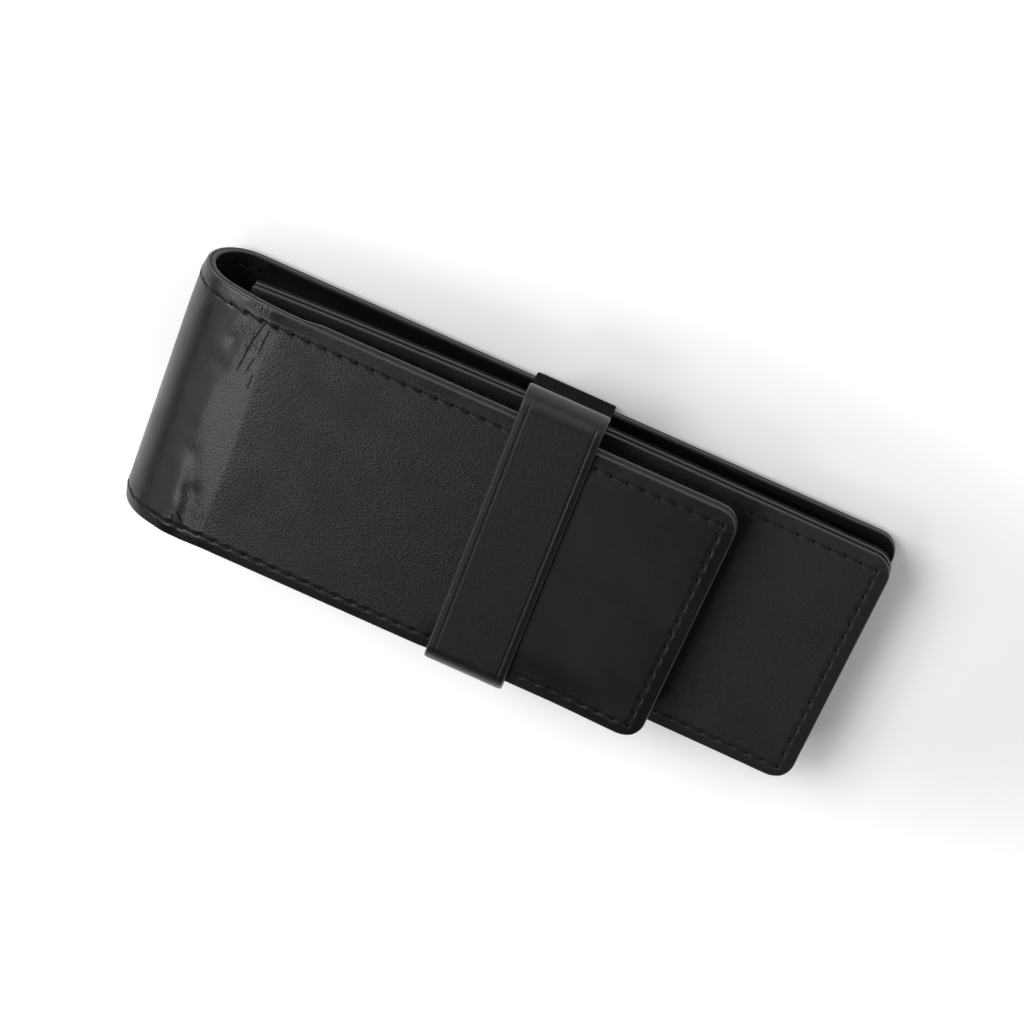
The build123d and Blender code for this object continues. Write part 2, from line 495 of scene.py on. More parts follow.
def work(tree, operation, *values, clamp=False):
    """A Math node's result."""
    inputs = dict(enumerate(values))
    return put(tree, "Math", inputs, operation=operation, use_clamp=clamp).outputs[0]


def chain(tree, operation, values):
    """One Math operation over all of the values."""
    total = values[0]
    for value in values[1:]:
        total = work(tree, operation, total, value)
    return total


def times(tree, *values):
    return chain(tree, "MULTIPLY", values)


def vector(tree, operation, first, second, result="Vector"):
    """A Vector Math node's result."""
    inputs = {0: first, "Scale" if operation == "SCALE" else 1: second}
    return put(tree, "VectorMath", inputs, operation=operation).outputs[result]


def noise(tree, place, scale, detail, roughness=0.5, result="Fac"):
    inputs = {"Vector": place, "Scale": scale, "Detail": detail, "Roughness": roughness}
    return put(tree, "TexNoise", inputs).outputs[result]


def wobbled(tree, place, given, scale, detail, reach):
    """A place moved a little by a noise, which is read at the given place."""
    wave = noise(tree, given, scale, detail, result="Color")
    return vector(tree, "ADD", place, vector(tree, "MULTIPLY", wave, reach))


def cell_edges(tree, place, size):
    """Distance to the edge of an irregular cell, in shares of its size."""
    inputs = {"Vector": place, "Scale": work(tree, "DIVIDE", 1.0, size)}
    return put(tree, "TexVoronoi", inputs, feature="DISTANCE_TO_EDGE").outputs["Distance"]


def own_place(tree):
    return put(tree, "TexCoord").outputs["Object"]


def split(tree, place):
    return put(tree, "SeparateXYZ", {0: place}).outputs


def fade(tree, value, start, end, low=0.0, high=1.0):
    """A smooth change from low to high as the value goes from start to end."""
    inputs = {"Value": value, "From Min": start, "From Max": end, "To Min": low, "To Max": high}
    return put(tree, "MapRange", inputs, interpolation_type="SMOOTHSTEP").outputs["Result"]


def blend_numbers(tree, share, first, second):
    return put(tree, "Mix", {0: share, 2: first, 3: second}).outputs[0]


def blend_colours(tree, share, first, second):
    node = put(tree, "Mix", {0: share, 6: first, 7: second}, data_type="RGBA")
    return node.outputs[2]


def new_group(name, inputs, outputs):
    """An empty node group with its sockets, and its input and output nodes."""
    tree = bpy.data.node_groups.new(name, "ShaderNodeTree")
    for socket, value in inputs.items():
        kind = "NodeSocketVector" if socket == "Place" else "NodeSocketFloat"
        made = tree.interface.new_socket(name=socket, in_out="INPUT", socket_type=kind)
        if value is not None:
            made.default_value = value
    for socket in outputs:
        tree.interface.new_socket(name=socket, in_out="OUTPUT", socket_type="NodeSocketFloat")
    given, made = tree.nodes.new("NodeGroupInput"), tree.nodes.new("NodeGroupOutput")
    return tree, given.outputs, made.inputs


def use_group(tree, group, values):
    return put(tree, "Group", values, node_tree=group).outputs


def finish_group(tree, made, results):
    for name, value in results.items():
        tree.links.new(value, made[name])
    return tree


def make_grain():
    """Fine pebbled grain: height in metres, and a slow change of tone over the hide."""
    inputs = {"Place": None, "Pebble": 0.7 * MM, "Depth": 0.03 * MM}
    tree, given, made = new_group("leather_grain", inputs, ["Height", "Tone"])
    place = wobbled(tree, given["Place"], given["Place"], 900, 2, (0.4 * MM,) * 3)
    pebbles = cell_edges(tree, place, given["Pebble"])
    crowns = times(tree, fade(tree, pebbles, 0.0, 0.32), 0.22)
    swell = noise(tree, given["Place"], 1700, 2)
    height = times(tree, work(tree, "ADD", swell, crowns), given["Depth"])
    tone = fade(tree, noise(tree, given["Place"], 70, 5, 0.6), 0.3, 0.7)
    return finish_group(tree, made, {"Height": height, "Tone": tone})


def make_sewn_row():
    """A sewn row: the leather drawn down along it, and a needle hole at each stitch end."""
    inputs = {"Along": 0.0, "Across": 0.0, "From": 0.0, "To": 1.0, "Pitch": PITCH}
    tree, given, made = new_group("sewn_row", inputs, ["Height", "Hole"])
    from_start = work(tree, "SUBTRACT", given["Along"], given["From"])
    stitches = work(tree, "DIVIDE", from_start, given["Pitch"])
    nearest = work(tree, "SUBTRACT", stitches, work(tree, "ROUND", stitches))
    gap = times(tree, nearest, given["Pitch"])
    slanted = work(tree, "MULTIPLY_ADD", given["Across"], 0.7, gap)

    def reach(along_share, across_share):
        """Distance from the middle of a hole, longer one way than the other."""
        along = times(tree, slanted, along_share)
        across = times(tree, given["Across"], across_share)
        squares = [times(tree, value, value) for value in (along, across)]
        return work(tree, "SQRT", work(tree, "ADD", *squares))

    before = work(tree, "GREATER_THAN", from_start, -0.5 * MM)
    after = work(tree, "LESS_THAN", given["Along"], work(tree, "ADD", given["To"], 0.5 * MM))
    within = times(tree, before, after)
    hole = fade(tree, reach(1.0, 1.1), 0.46 * MM, 0.2 * MM)
    drawn = fade(tree, reach(0.55, 1.0), 1.1 * MM, 0.15 * MM)
    channel = fade(tree, work(tree, "ABSOLUTE", given["Across"]), 0.7 * MM, 0.15 * MM)
    beside_row, beside_hole, in_hole = [
        times(tree, share, fall * MM)
        for share, fall in ((channel, -0.03), (drawn, -0.09), (hole, -0.2))
    ]
    depth = work(tree, "ADD", beside_row, work(tree, "ADD", beside_hole, in_hole))
    return finish_group(tree, made, {
        "Height": times(tree, depth, within), "Hole": times(tree, hole, within),
    })


def make_edge_distance():
    """How far inside a panel's rounded outline a place is."""
    inputs = {
        "Place": None, "Middle": 0.0, "Half Length": 0.1, "Half Width": HALF_WIDTH,
        "Corner": CORNER,
    }
    tree, given, made = new_group("edge_distance", inputs, ["Inside"])
    parts = split(tree, given["Place"])
    along = work(tree, "ABSOLUTE", work(tree, "SUBTRACT", parts["X"], given["Middle"]))
    across = work(tree, "ABSOLUTE", parts["Y"])
    beyond = []
    for value, half in ((along, given["Half Length"]), (across, given["Half Width"])):
        inner = work(tree, "SUBTRACT", half, given["Corner"])
        beyond.append(work(tree, "SUBTRACT", value, inner))
    clipped = [work(tree, "MAXIMUM", value, 0.0) for value in beyond]
    squares = [times(tree, value, value) for value in clipped]
    outside = work(tree, "SQRT", work(tree, "ADD", *squares))
    nearest = work(tree, "MINIMUM", work(tree, "MAXIMUM", beyond[0], beyond[1]), 0.0)
    reach = work(tree, "ADD", outside, nearest)
    return finish_group(tree, made, {"Inside": work(tree, "SUBTRACT", given["Corner"], reach)})


def make_crackle():
    """Fine creases that bending leaves in leather, running across the strip."""
    tree, given, made = new_group(
        "crackle", {"Place": None, "Size": 1.1 * MM, "Strength": 1.0}, ["Height", "Line"]
    )
    stretched = vector(tree, "MULTIPLY", given["Place"], (1.0, 0.4, 1.0))
    place = wobbled(tree, stretched, given["Place"], 500, 3, (1.2 * MM,) * 3)
    line = fade(tree, cell_edges(tree, place, given["Size"]), 0.16, 0.0)
    strong = times(tree, line, given["Strength"])
    return finish_group(tree, made, {"Height": times(tree, strong, -0.03 * MM), "Line": strong})


def make_crack():
    """A sharp crack from one place to another, ragged and tapering at its two ends."""
    tree, given, made = new_group(
        "crack", {"Place": None, "From X": 0.0, "From Y": 0.0, "To X": 1.0, "To Y": 0.0}, ["Depth"]
    )
    start = put(tree, "CombineXYZ", {"X": given["From X"], "Y": given["From Y"]}).outputs[0]
    end = put(tree, "CombineXYZ", {"X": given["To X"], "Y": given["To Y"]}).outputs[0]
    moved = wobbled(tree, given["Place"], given["Place"], 700, 2, (0.6 * MM, 0.6 * MM, 0))
    away = vector(tree, "SUBTRACT", vector(tree, "MULTIPLY", moved, (1, 1, 0)), start)
    run = vector(tree, "SUBTRACT", end, start)
    along, whole = [
        vector(tree, "DOT_PRODUCT", line, run, result="Value") for line in (away, run)
    ]
    share = work(tree, "DIVIDE", along, whole, clamp=True)
    foot = vector(tree, "SCALE", run, share)
    gap = vector(tree, "DISTANCE", away, foot, result="Value")
    taper = times(
        tree, fade(tree, share, 0.0, 0.15, 0.5, 1.0), fade(tree, share, 1.0, 0.75, 0.4, 1.0)
    )
    return finish_group(tree, made, {"Depth": times(tree, fade(tree, gap, 0.3 * MM, 0.0), taper)})


def make_dust():
    """A few pale specks of lint."""
    tree, given, made = new_group("dust", {"Place": None, "Amount": 0.5}, ["Speck"])
    spots = put(tree, "TexVoronoi", {"Vector": given["Place"], "Scale": 260, "Randomness": 1.0})
    small = fade(tree, spots.outputs["Distance"], 0.055, 0.03)
    chance = put(tree, "SeparateColor", {0: spots.outputs["Color"]}).outputs[0]
    rare = work(tree, "LESS_THAN", chance, times(tree, given["Amount"], 0.1))
    return finish_group(tree, made, {"Speck": times(tree, small, rare)})


grain_group = make_grain()
row_group = make_sewn_row()
edge_group = make_edge_distance()
crackle_group = make_crackle()
crack_group = make_crack()
dust_group = make_dust()


def new_material(name):
    material = bpy.data.materials.new(name)
    material.use_nodes = True
    tree = material.node_tree
    tree.nodes.clear()
    shader = put(tree, "BsdfPrincipled")
    put(tree, "OutputMaterial", {"Surface": shader.outputs[0]})
    return material, tree, shader


def add_dust(tree, colour, where, amount):
    speck = use_group(tree, dust_group, {"Place": where, "Amount": amount})["Speck"]
    return blend_colours(tree, times(tree, speck, 0.5), colour, (0.25, 0.24, 0.23, 1))


def finish_material(tree, shader, colour, rough, height, gloss=0.5):
    """Feeds a shader its colour, roughness and relief. The height is in metres."""
    bump = put(tree, "Bump", {"Height": height, "Distance": 1.0})
    feed(tree, shader, "Base Color", colour)
    feed(tree, shader, "Roughness", rough)
    feed(tree, shader, "Specular IOR Level", gloss)
    feed(tree, shader, "Normal", bump.outputs[0])


# Where the flap's grain turns smoother, beyond the band
SMOOTH_FROM = FLAP_START + 50 * MM
SMOOTH_TO = FLAP_START + 75 * MM

# Painted shade in the needle holes: near black
NEEDLE_HOLE_SHADE = (0.002, 0.002, 0.002, 1)
# A paler rim along a panel's outline: wear, and a painted highlight where the rounded edge catches
# the light
WORN_EDGE_AND_HIGHLIGHT = (0.02, 0.019, 0.019, 1)


def leather(name, dark, light, roughness, place, pebble=0.7 * MM, depth=0.03 * MM, outline=None,
            rows=(), creases=None, dust=0.0, gloss=0.5):
    """A leather with grain, sewn rows, a burnished edge, bending creases and some dust. The needle
    holes carry painted shade, the rim along the outline is paler with wear and carries a painted
    highlight, and the crease lines and cracks carry painted shade.
    place says where a point is: the attribute "flat", or else the piece's own coordinates."""
    material, tree, shader = new_material(name)
    if place == "flat":
        where = put(tree, "Attribute", attribute_name="flat").outputs["Vector"]
    else:
        where = own_place(tree)
    parts = split(tree, where)
    side = work(tree, "ABSOLUTE", parts["Y"])
    grain = use_group(tree, grain_group, {"Place": where, "Pebble": pebble, "Depth": depth})
    grain_height = grain["Height"]
    if creases:
        smoother = times(
            tree, fade(tree, parts["X"], SMOOTH_FROM, SMOOTH_TO, 1.0, 0.4),
            fade(tree, parts["X"], FLAP_START - 8 * MM, FLAP_START, 0.6, 1.0),
        )
        grain_height = times(tree, grain_height, smoother)
    heights, holes = [grain_height], []
    for kind, line, start, end, pitch in rows:
        if kind == "side":
            along, across = parts["X"], work(tree, "SUBTRACT", side, line)
        else:
            along, across = parts["Y"], work(tree, "SUBTRACT", parts["X"], line)
        row = use_group(
            tree, row_group,
            {"Along": along, "Across": across, "From": start, "To": end, "Pitch": pitch},
        )
        heights.append(row["Height"])
        holes.append(row["Hole"])
    colour = blend_colours(tree, grain["Tone"], dark, light)
    rough = fade(tree, grain["Tone"], 0.0, 1.0, roughness + 0.05, roughness - 0.04)
    if creases:
        crackle = use_group(
            tree, crackle_group, {"Place": where, "Strength": creases(tree, where, side)}
        )
        cracked = chain(tree, "MAXIMUM", [
            use_group(tree, crack_group, {
                "Place": where, "From X": ax * MM, "From Y": ay * MM, "To X": bx * MM,
                "To Y": by * MM,
            })["Depth"]
            for ax, ay, bx, by in CRACKS
        ])
        heights += [crackle["Height"], times(tree, cracked, -0.06 * MM)]
        bent = times(
            tree, fade(tree, parts["X"], 31 * MM, 37 * MM),
            fade(tree, parts["X"], FLAP_START + 3 * MM, FLAP_START - 5 * MM),
        )
        rough = blend_numbers(tree, bent, rough, 0.29)
        # Painted shade in the crease lines and cracks: both are coloured darker
        crackle_shade = times(tree, crackle["Line"], 0.55)
        colour = blend_colours(tree, crackle_shade, colour, (0.003, 0.003, 0.003, 1))
        colour = blend_colours(tree, cracked, colour, (0.002, 0.002, 0.002, 1))
    if outline:
        inside = use_group(tree, edge_group, {"Place": where, **outline})["Inside"]
        # The rim is paler: wear, and a painted highlight on the rounded edge
        rim = fade(tree, inside, 0.45 * MM, 0.05 * MM)
        colour = blend_colours(tree, rim, colour, WORN_EDGE_AND_HIGHLIGHT)
        rough = blend_numbers(tree, rim, rough, 0.38)
    if dust:
        colour = add_dust(tree, colour, where, dust)
    # Painted shade in the needle holes: near black, rough and metallic, so that they mirror almost
    # nothing
    if holes:
        hole = chain(tree, "MAXIMUM", holes)
        colour = blend_colours(tree, hole, colour, NEEDLE_HOLE_SHADE)
        rough = blend_numbers(tree, hole, rough, 0.9)
        feed(tree, shader, "Metallic", times(tree, hole, 0.9))
    finish_material(tree, shader, colour, rough, chain(tree, "ADD", heights), gloss)
    return material


def fold_creases(tree, where, side):
    """Where the strip's bending creases show: over the fold, most of all near its two ends."""
    along = split(tree, where)["X"]
    start = fade(tree, along, 8 * MM, 20 * MM)
    end = fade(tree, along, FLAP_START + 6 * MM, FLAP_START - 8 * MM)
    ends = fade(tree, side, 8 * MM, 27 * MM, 0.12, 1.0)
    patches = fade(tree, noise(tree, where, 120, 3), 0.42, 0.62)
    return times(tree, times(tree, start, end), times(tree, ends, patches))


def even_pitch(start, end):
    """The stitch length that divides a row evenly."""
    return (end - start) / round((end - start) / PITCH)


def outline_between(start, end):
    return {"Middle": (start + end) / 2, "Half Length": (end - start) / 2}


def row_across(line):
    return ("end", line, -ROW_SIDE, ROW_SIDE, even_pitch(-ROW_SIDE, ROW_SIDE))


def rows_along(start, end):
    return ("side", ROW_SIDE, start, end, even_pitch(start, end))


row_start = STRIP_START + ROW_INSET
row_end = STRIP_END - ROW_INSET
front_start = MOUTH_X + 2 * MM
front_row_end = BOTTOM_END - ROW_INSET
strip_rows = [rows_along(row_start, row_end), row_across(row_start), row_across(row_end)]
front_rows = [rows_along(front_start, front_row_end), row_across(front_row_end)]
strip_outline = outline_between(STRIP_START, STRIP_END)
front_outline = outline_between(MOUTH_X, BOTTOM_END)
LINING = ((0.0016, 0.0016, 0.0016, 1), (0.0032, 0.003, 0.003, 1), 0.62)

strip_leather = leather(
    "strip_leather", (0.0026, 0.002, 0.0024, 1), (0.0048, 0.0038, 0.0044, 1), 0.38, "flat",
    outline=strip_outline, rows=strip_rows, creases=fold_creases, dust=0.3, depth=0.045 * MM,
    pebble=0.8 * MM,
)
strip_lining = leather(
    "strip_lining", *LINING, "flat", outline=strip_outline, rows=strip_rows, dust=0.8, gloss=0.22,
)
# The pocket front is lighter than the strip's leather: painted light, for its brighter look
front_leather = leather(
    "front_leather", (0.008, 0.0074, 0.0077, 1), (0.0125, 0.0117, 0.0121, 1), 0.39, "object",
    outline=front_outline, rows=front_rows, dust=0.3, depth=0.034 * MM, pebble=0.8 * MM,
)
front_lining = leather("front_lining", *LINING, "object", outline=front_outline, gloss=0.22)
# The gussets are darker and far less glossy than the outer leather: painted shade inside the
# pocket's V
gusset_leather = leather(
    "gusset_leather", (0.0012, 0.0012, 0.0012, 1), (0.003, 0.0028, 0.0028, 1), 0.6, "object",
    pebble=0.5 * MM, dust=0.8, gloss=0.07,
)


def make_band_leather():
    """The band's leather: smoother, with a line creased inside each edge, a painted highlight
    along both edges, and painted shade low on its sides.
    """
    material, tree, shader = new_material("band_leather")
    where = own_place(tree)
    turned = put(
        tree, "Mapping",
        {"Vector": where, "Location": (BAND_X, 0, 0), "Rotation": (0, 0, BAND_SKEW)},
        vector_type="TEXTURE",
    ).outputs[0]
    side = split(tree, turned)["X"]
    across = work(tree, "ABSOLUTE", side)
    grain = use_group(tree, grain_group, {"Place": where, "Pebble": 0.6 * MM, "Depth": 0.03 * MM})
    line_gap = work(tree, "ABSOLUTE", work(tree, "SUBTRACT", across, BAND_WIDTH / 2 - 1.9 * MM))
    line = fade(tree, line_gap, 0.5 * MM, 0.05 * MM)
    depth = fade(tree, side, -1 * MM, 1 * MM, -0.035 * MM, -0.075 * MM)
    height = work(tree, "ADD", grain["Height"], times(tree, line, depth))
    colour = blend_colours(
        tree, grain["Tone"], (0.0035, 0.0033, 0.0034, 1), (0.0062, 0.0058, 0.006, 1)
    )
    # Painted highlight: a paler colour along both rounded edges of the band
    rim = fade(tree, across, BAND_WIDTH / 2 - 0.6 * MM, BAND_WIDTH / 2 - 0.1 * MM)
    colour = blend_colours(tree, rim, colour, (0.03, 0.029, 0.029, 1))
    colour = add_dust(tree, colour, where, 0.6)
    # Painted shade low on the band's sides, under its bulge: near black, rough and metallic, so
    # that it mirrors almost nothing
    painted_shade_below = fade(tree, split(tree, where)["Z"], 15 * MM, 11 * MM)
    colour = blend_colours(tree, painted_shade_below, colour, (0.0016, 0.0015, 0.0015, 1))
    rough = fade(tree, grain["Tone"], 0.0, 1.0, 0.44, 0.37)
    rough = blend_numbers(tree, painted_shade_below, rough, 0.95)
    feed(tree, shader, "Metallic", times(tree, painted_shade_below, 0.75))
    finish_material(tree, shader, colour, rough, height, 0.42)
    return material


def make_board():
    """Grey-black fibre board, seen only in the edges."""
    material, tree, shader = new_material("core_board")
    fibres = noise(tree, own_place(tree), 3000, 3)
    colour = blend_colours(tree, fibres, (0.004, 0.004, 0.004, 1), (0.012, 0.0115, 0.011, 1))
    finish_material(tree, shader, colour, 0.9, times(tree, fibres, 0.05 * MM))
    return material


def make_thread():
    """Waxed black thread, twisted."""
    material, tree, shader = new_material("thread")
    inputs = {"Vector": own_place(tree), "Scale": 900, "Distortion": 1.0}
    twist = put(tree, "TexWave", inputs, bands_direction="DIAGONAL").outputs["Fac"]
    colour = blend_colours(tree, twist, (0.003, 0.003, 0.003, 1), (0.008, 0.0077, 0.008, 1))
    finish_material(tree, shader, colour, 0.75, times(tree, twist, 0.03 * MM), 0.25)
    return material


band_leather = make_band_leather()
board_fibre = make_board()
thread_black = make_thread()

# The strip's outer leather and its lining
outer = strip_sheet("outer", 0.0, 76, 0.0)
face_up(outer, (0, 0, -1))
give_thickness(outer, LEATHER - GLUE, edge=ROUNDED)
shape(outer, press)
outer_parts = cut_strip(outer, "outer", strip_leather)

inner = strip_sheet("inner", LEATHER, 30, BOARD)
face_up(inner, (0, 0, -1))
give_thickness(inner, LEATHER)
inner_parts = cut_strip(inner, "inner", strip_lining)

for kind, parts in (("leather", outer_parts), ("lining", inner_parts)):
    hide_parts(f"back_{kind}")
    for number in range(1, 6):
        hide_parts(f"fold_{kind}_{number}")
    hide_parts(f"fold_{kind}_5")
    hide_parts(f"flap_{kind}")


# Pocket front
def ceiling(x):
    """Height of the pocket front's inner face."""
    if x < WAIST_X:
        end_x, opening = MOUTH_X, MOUTH_OPENING
    else:
        end_x, opening = BOTTOM_END, BOTTOM_OPENING
    share = (x - WAIST_X) / (end_x - WAIST_X)
    return BACK_TOP + WAIST_OPENING + (opening - WAIST_OPENING) * share * share


def pocket_sheet(name, lift, looks_up, material):
    """One leather of the pocket front, with the sag and its rounded bottom corners."""
    thickness = LEATHER - GLUE
    piece = start_sheet(name, (MOUTH_X, -HALF_WIDTH, 0), (BOTTOM_END, HALF_WIDTH, 0), 50, 122)
    done()
    shape(piece, round_end(BOTTOM_END))
    shape(piece, lambda p: Vector((p.x, p.y, ceiling(p.x) + lift)))
    face_up(piece, (0, 0, 1 if looks_up else -1))
    give_thickness(piece, thickness, edge=ROUNDED if looks_up else 0.3 * MM)
    if looks_up:
        def fall(point):
            top = ceiling(point.x) + lift
            drop = drawn_down(point.x, point.y, PAST_MOUTH, BOTTOM_END)
            point.z -= drop * smoothstep(top - thickness, top, point.z)
            return point
        shape(piece, fall)
    dress(piece, material)
    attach(piece, "case")
    return piece


front_outer = pocket_sheet("front_outer", FRONT_THICK, True, front_leather)
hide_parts("pocket_leather")
front_inner = pocket_sheet("front_inner", 0.0, False, front_lining)
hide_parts("pocket_lining")

# Boards, which show only in the edges: the pocket's keeps the model's own solid, and the
# flap's is pared to nothing at the ramp and bends with the flap
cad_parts["pocket_core"].data.materials.clear()
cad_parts["pocket_core"].data.materials.append(board_fibre)


def make_flap_board():
    inset = 0.15 * MM
    top = FLAP_TOP - LEATHER
    low = (RAMP_X, inset - HALF_WIDTH, top)
    piece = start_sheet("flap_board", low, (FLAP_END, HALF_WIDTH - inset, top), 50, 84)
    done()
    shape(piece, round_end(FLAP_END))
    face_up(piece, (0, 0, 1))
    apply(piece, "SOLIDIFY", thickness=BOARD, offset=-1)

    def pare(point):
        share = smoothstep(0, BOARD_SKIVE, point.x - RAMP_X)
        point.z = top - (top - point.z) * max(0.05, share)
        point.x = min(point.x, FLAP_END - inset)
        return settle(point)

    shape(piece, pare)
    take(piece)
    bpy.ops.object.shade_smooth_by_angle(angle=radians(40))
    dress(piece, board_fibre)
    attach(piece, "flap")
    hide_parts("flap_core")


make_flap_board()


# Gussets: leather folded inwards in a V, mitred at the bottom corners.
# Each place across the V's lower leaf: its depth, its share of the pocket's opening, and a lift
V_LOWER = [
    (0.0, 0.0, 0.0), (1.2, 0.01, 0.0), (2.4, 0.03, 0.0), (3.6, 0.09, -0.02), (4.8, 0.18, -0.08),
    (6.0, 0.28, -0.2), (7.2, 0.38, -0.36), (8.0, 0.45, -0.52), (8.45, 0.5, -0.6),
    (8.82, 0.5, -0.42),
]
V_UPPER = [(depth, 1 - share, -lift) for depth, share, lift in reversed(V_LOWER)]
V_ACROSS = [*V_LOWER, (9.0, 0.5, 0.0), *V_UPPER]


def shortfall(x):
    """How far the lower leaf stops short of the back's edge, which grows towards the bottom."""
    return 1.7 * MM * smoothstep(28 * MM, 76 * MM, x)


def make_gusset(name, node, side):
    """One gusset: side is 1 or -1 on a long side, and 0 across the bottom end."""
    rows = len(V_ACROSS) - 1
    first, last = (MOUTH_X, BOTTOM_END) if side else (-HALF_WIDTH, HALF_WIDTH)
    piece = start_sheet(name, (first, 0, 0), (last, rows * MM, 0), rows, 122 if side else 50)
    done()
    floor = BACK_TOP + GLUE + GUSSET / 2

    def fold(point):
        depth, share, lift = V_ACROSS[round(point.y / MM)]
        x = point.x if side else BOTTOM_END
        room = ceiling(x) - BACK_TOP - 2 * GLUE - GUSSET
        # the fold's line wanders a little
        sway = 0.25 * sin(point.x / (7.1 * MM)) + 0.18 * sin(point.x / (2.9 * MM) + 1.0)
        inset = (depth + sway * (depth / 9) ** 2) * MM
        inset += shortfall(x) * max(0.0, 1 - 2 * share)
        z = floor + share * room + lift * MM
        if side:
            return Vector((x, side * (HALF_WIDTH - inset), z))
        return Vector((BOTTOM_END - inset, point.x, z))

    shape(piece, fold)
    edit(piece)
    for mitre in (side,) if side else (1, -1):
        choose_all()
        foot = (BOTTOM_END - (GLUE if side else 0), mitre * HALF_WIDTH, 0)
        keep_low = bool(side)
        bpy.ops.mesh.bisect(
            plane_co=foot, plane_no=(1, -mitre, 0), clear_outer=keep_low, clear_inner=not keep_low
        )
    done()
    shape(piece, round_end(BOTTOM_END))
    apply(piece, "SOLIDIFY", thickness=GUSSET, offset=0)
    apply(
        piece, "BEVEL", width=0.22 * MM, segments=2, limit_method="ANGLE",
        angle_limit=radians(60), use_clamp_overlap=False,
    )
    edit(piece)
    face_outwards()
    done()
    smooth(piece)
    dress(piece, gusset_leather)
    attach(piece, "case")
    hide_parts(node)


make_gusset("gusset_left_v", "gusset_left", 1)
make_gusset("gusset_right_v", "gusset_right", -1)
make_gusset("gusset_end_v", "gusset_end", 0)


# Thread: one stitch is made, and copies of it are laid along the rows
def make_stitch(length):
    """One stitch along X: it comes up from its hole, lies on the leather and goes down again."""
    way = [
        (-0.5, -0.8, 0.7), (-0.46, -0.4, 0.9), (-0.38, -0.2, 1.0), (-0.22, -0.11, 1.0),
        (0.0, -0.09, 1.0), (0.22, -0.11, 1.0), (0.38, -0.2, 1.0), (0.46, -0.4, 0.9),
        (0.5, -0.8, 0.7),
    ]
    bpy.ops.mesh.primitive_circle_add(
        vertices=6, radius=THREAD_RADIUS, fill_type="NGON", rotation=(0, pi / 2, 0)
    )
    piece = bpy.context.object
    bpy.ops.object.transform_apply(rotation=True)
    edit(piece)
    bpy.ops.transform.translate(value=(way[0][0] * length, 0, way[0][1] * MM))
    for before, after in zip(way, way[1:]):
        pull(((after[0] - before[0]) * length, 0, (after[1] - before[1]) * MM))
        grow = after[2] / before[2]
        middle = (after[0] * length, 0, after[1] * MM)
        bpy.ops.transform.resize(value=(1, grow, grow), center_override=middle)
    face_outwards()
    done()
    take(piece)
    bpy.ops.object.shade_smooth()
    return piece


def strip_point(along, across, height):
    """The place in the case of a point above the flat strip's outer face."""
    if along < 0:
        foot = Vector((FOLD_X - along, across, BACK_UNDER))
    elif along <= RAMP_START:
        foot = Vector(arc_point(FOLD_X, FOLD_Z, FOLD_RADIUS, along / FOLD_RADIUS))
    elif along <= FLAP_START:
        angle = FOLD_TURN + (along - RAMP_START) / RAMP_RADIUS
        foot = Vector(arc_point(RAMP_X, RAMP_Z, RAMP_RADIUS, angle))
    else:
        foot = Vector((RAMP_X + along - FLAP_START, across, FLAP_TOP))
    foot.y = across
    return foot + strip_normal(along) * height


def strip_thickness(along):
    """Both leathers, and the board between them on the flap."""
    return 2 * LEATHER + BOARD * smoothstep(0, BOARD_SKIVE, along - FLAP_START)


def on_outer_face(along, across, height):
    return settle(strip_point(along, across, height + on_strip(along, across)))


def on_inner_face(along, across, height):
    return settle(strip_point(along, across, -strip_thickness(along) - height))


def on_front(along, across, height):
    fall = drawn_down(along, across, PAST_MOUTH, BOTTOM_END)
    return Vector((along, across, ceiling(along) + FRONT_THICK + height - fall))


def stitch_places(rows):
    """Middles of a panel's stitches, and whether they run along it. A side row is on both
    sides."""
    places = []
    for kind, line, start, end, pitch in rows:
        count = round((end - start) / pitch)
        middles = [start + (number + 0.5) * pitch for number in range(count)]
        if kind == "side":
            places += [(middle, side, True) for side in (line, -line) for middle in middles]
        else:
            places += [(line, middle, False) for middle in middles]
    return places


def lay_stitches(stitch, places, surface, mirrored=False):
    """Copies the stitch to each place, each copy with its own mesh bent to the surface."""
    copies = []
    for along, across, lengthwise in places:
        copy = copy_of(stitch)
        slant = STITCH_SLANT if mirrored else -STITCH_SLANT
        for point in copy.data.vertices:
            run, over = point.co.x, point.co.y + point.co.x * slant
            if not lengthwise:
                run, over = -over, run
            point.co = surface(along + run, across + over, point.co.z)
        if mirrored:
            copy.data.flip_normals()
        copies.append(copy)
    return copies


def join_thread(name, copies, body_number=None):
    """Joins stitches into one piece of thread, riding with its part of the strip."""
    if not copies:
        return
    take(copies[0])
    for copy in copies:
        copy.select_set(True)
    bpy.ops.object.join()
    thread = bpy.context.object
    thread.name = name
    dress(thread, thread_black)
    if body_number is None:
        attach(thread, "case")
    else:
        carry(thread, body_number)


def sew():
    """Sews the strip's rows on both faces, and those of the pocket front."""
    stitch = make_stitch(PITCH * STITCH_SHARE)
    outside = stitch_places(strip_rows)
    inside = [place for place in outside if place[0] > FOLD_X - MOUTH_X]
    groups = {number: [] for number in range(8)}
    for places, surface, mirrored in (
        (outside, on_outer_face, False), (inside, on_inner_face, True)
    ):
        for place in places:
            number = part_of_strip(strip_point(place[0], place[1], -LEATHER))
            groups[number] += lay_stitches(stitch, [place], surface, mirrored)
    for number, copies in groups.items():
        name = {0: "back_thread", 7: "flap_thread"}.get(number, f"fold_thread_{number}")
        join_thread(name, copies, number)
    front = stitch_places(front_rows)
    join_thread("front_thread", lay_stitches(stitch, front, on_front))
    bpy.data.objects.remove(stitch)


sew()


# Band: its outline's corners and their radii, from under the case up the +Y side, where it
# bulges loosely, over the top and down the tighter -Y side
BAND_CORNERS = [
    (32.2, 0.0, 2.2), (32.45, 9.0, 1.5), (41.8, 26.3, 4.5), (-35.3, 26.3, 6.0), (-32.2, 0.0, 2.2),
]


